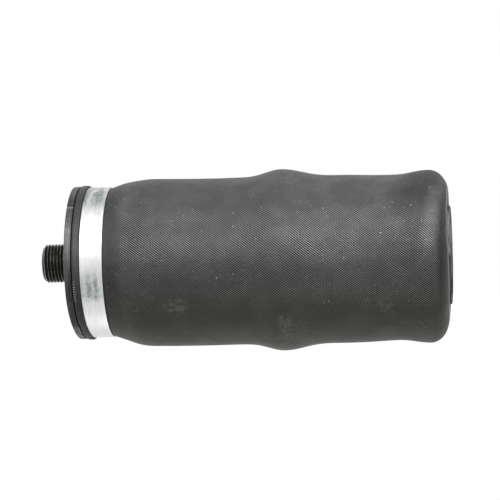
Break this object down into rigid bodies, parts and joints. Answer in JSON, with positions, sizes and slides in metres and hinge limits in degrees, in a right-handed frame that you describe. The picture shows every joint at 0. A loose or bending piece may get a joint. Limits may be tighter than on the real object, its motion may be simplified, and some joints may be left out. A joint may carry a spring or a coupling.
{
  "type": "air suspension spring",
  "caption": "Sleeve-type rolling lobe air spring: crimped rubber sleeve on a moulded piston, with an end cap, a threaded air stud and an inner bumper; extends along its axis.",
  "frame": {"origin": "centre of the piston's flat foot, the lowest face of the part", "axes": "+Z along the spring's axis, from the piston's foot up to the stud"},
  "size_m": [0.0888, 0.0888, 0.2012],
  "materials": {
    "cap_steel": "satin dark grey coating, worn at the rim",
    "stud_steel": "black coated thread",
    "seal_rubber": "smooth nitrile",
    "band_alloy": "bright, lightly mottled",
    "sleeve_rubber": "matte with the print of the curing fabric",
    "piston_plastic": "moulded glass-filled nylon",
    "insert_brass": "machined",
    "closure_alloy": "machined",
    "zinc_steel": "zinc plated",
    "bumper_rubber": "matte cellular rubber"
  },
  "bodies": {
    "piston": {"piston": "piston_plastic", "piston_insert": "insert_brass", "piston_closure": "closure_alloy", "closure_seal": "seal_rubber", "locating_dowels": "zinc_steel", "lower_crimp_band": "band_alloy", "bumper": "bumper_rubber", "clamp_washer": "zinc_steel", "tie_bolt": "zinc_steel", "bolt_seal": "seal_rubber"},
    "sleeve": {"rubber_sleeve": "sleeve_rubber"},
    "top": {"end_cap": "cap_steel", "combo_stud": "stud_steel", "stud_seal": "seal_rubber", "upper_crimp_band": "band_alloy"}
  },
  "joints": [
    {"name": "stroke", "type": "slide", "parent": "piston", "child": "top", "axis": [0, 0, 1], "range_m": [0, 0.1], "deforming": ["rubber_sleeve"]},
    {"name": "lobe_roll", "type": "slide", "parent": "piston", "child": "sleeve", "axis": [0, 0, 1], "range_m": [0, 0.05]}
  ],
  "couplings": [
    {"joint": "lobe_roll", "follows": "stroke", "ratio": 0.5}
  ]
}
